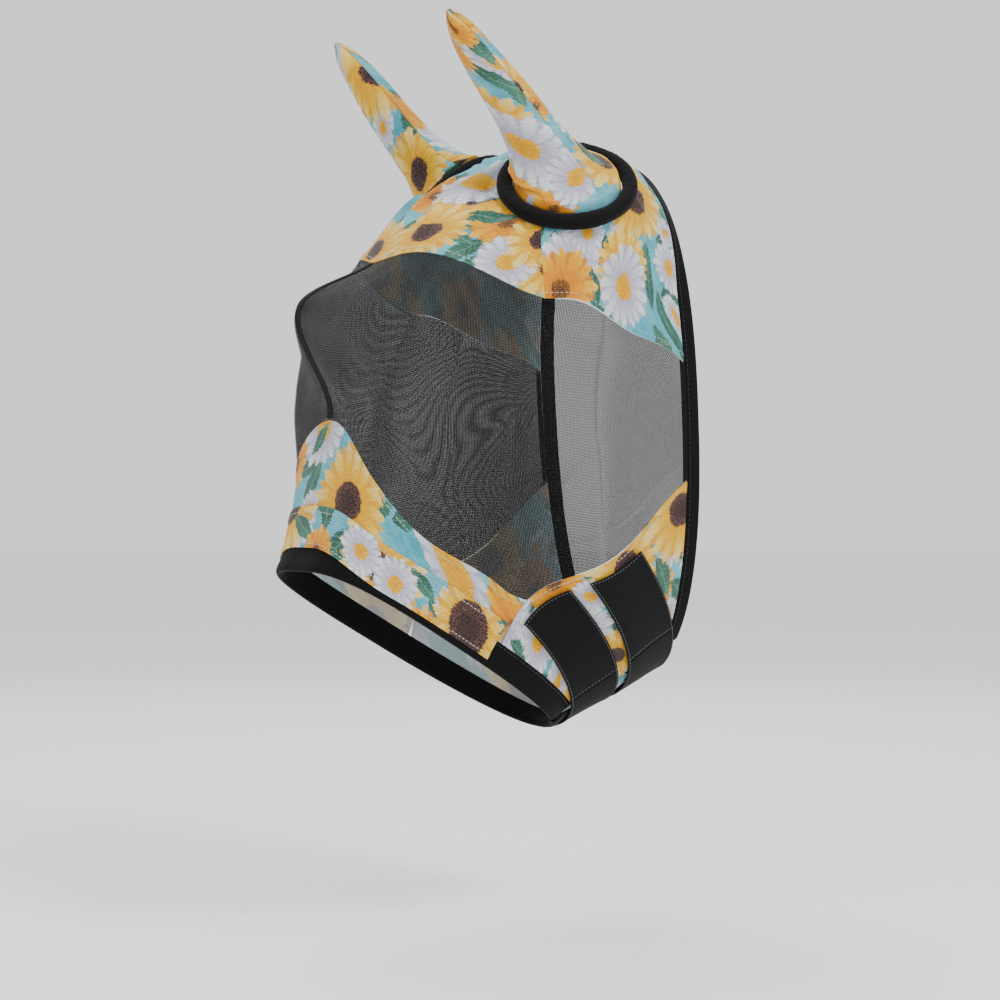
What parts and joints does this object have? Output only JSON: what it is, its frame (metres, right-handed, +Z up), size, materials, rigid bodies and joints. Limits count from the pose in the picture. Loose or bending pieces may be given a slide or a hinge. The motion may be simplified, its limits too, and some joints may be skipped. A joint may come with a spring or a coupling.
{
  "type": "fly mask",
  "caption": "Horse fly mask with ear sleeves, see-through mesh over the eyes, padded nose edge and hook-and-loop straps under the jaw.",
  "frame": {"origin": "inside of the crown at the horse's poll, where the mask is carried", "axes": "+X to the horse's left, -Y forward along the face, +Z up"},
  "size_m": [0.2486, 0.3355, 0.5585],
  "materials": {
    "print_cloth_crown": "floral print stretch cloth",
    "print_cloth_nose": "floral print stretch cloth",
    "print_cloth_band": "floral print stretch cloth",
    "print_cloth_jaw": "floral print stretch cloth",
    "print_cloth_ear": "floral print stretch cloth",
    "print_cloth_ear_inner": "floral print stretch cloth",
    "eye_mesh": "fine open knit mesh",
    "edge_tape": "matte woven tape",
    "padded_binding": "soft brushed fleece",
    "neck_binding": "matte stretch binding",
    "strap_webbing": "matte stitched webbing",
    "hook_tape": "moulded hook tape",
    "loop_tape": "napped loop tape",
    "ring_elastic": "gathered elastic binding"
  },
  "bodies": {
    "mask_shell": {"crown_front_panel": "print_cloth_crown", "crown_left_panel": "print_cloth_crown", "crown_right_panel": "print_cloth_crown", "mesh_left": "eye_mesh", "mesh_right": "eye_mesh", "mesh_centre_tape": "edge_tape", "mesh_edge_tape_left": "edge_tape", "mesh_edge_tape_right": "edge_tape", "nose_panel": "print_cloth_nose", "nose_band": "print_cloth_band", "nose_binding": "padded_binding", "neck_binding": "neck_binding", "jaw_panel_left": "print_cloth_jaw", "jaw_flap_right": "print_cloth_jaw", "front_strap_anchor": "strap_webbing", "front_loop_patch": "loop_tape", "rear_strap_anchor": "strap_webbing", "rear_loop_patch": "loop_tape", "ear_ring_left": "ring_elastic", "ear_ring_right": "ring_elastic"},
    "front_strap": {"front_strap": "strap_webbing"},
    "front_tab": {"front_tab": "strap_webbing", "front_hook_patch": "hook_tape"},
    "rear_strap": {"rear_strap": "strap_webbing"},
    "rear_tab": {"rear_tab": "strap_webbing", "rear_hook_patch": "hook_tape"},
    "ear_left": {"ear_left_outer": "print_cloth_ear", "ear_left_inner": "print_cloth_ear_inner"},
    "ear_right": {"ear_right_outer": "print_cloth_ear", "ear_right_inner": "print_cloth_ear_inner"}
  },
  "joints": [
    {"name": "front_strap_swing", "type": "hinge", "parent": "mask_shell", "child": "front_strap", "pos_m": [0.01469, -0.03396, -0.45418], "axis": [0.117, 0.905, 0.4089], "range_deg": [0, 90]},
    {"name": "front_tab_peel", "type": "hinge", "parent": "front_strap", "child": "front_tab", "pos_m": [0.07813, -0.08917, -0.38513], "axis": [0.44, 0.5152, 0.7355], "range_deg": [0, 100]},
    {"name": "rear_strap_swing", "type": "hinge", "parent": "mask_shell", "child": "rear_strap", "pos_m": [0.01893, 0.01605, -0.43179], "axis": [0.0227, 0.914, 0.4051], "range_deg": [0, 90]},
    {"name": "rear_tab_peel", "type": "hinge", "parent": "rear_strap", "child": "rear_tab", "pos_m": [0.08241, -0.01822, -0.37417], "axis": [0.0398, 0.8213, 0.5691], "range_deg": [0, 100]},
    {"name": "ear_left_nod", "type": "hinge", "parent": "mask_shell", "child": "ear_left", "pos_m": [0.075, -0.09, -0.037], "axis": [0.7974, 0, -0.6034], "range_deg": [-15, 15]},
    {"name": "ear_right_nod", "type": "hinge", "parent": "mask_shell", "child": "ear_right", "pos_m": [-0.075, -0.09, -0.037], "axis": [0.7974, 0, 0.6034], "range_deg": [-15, 15]}
  ]
}
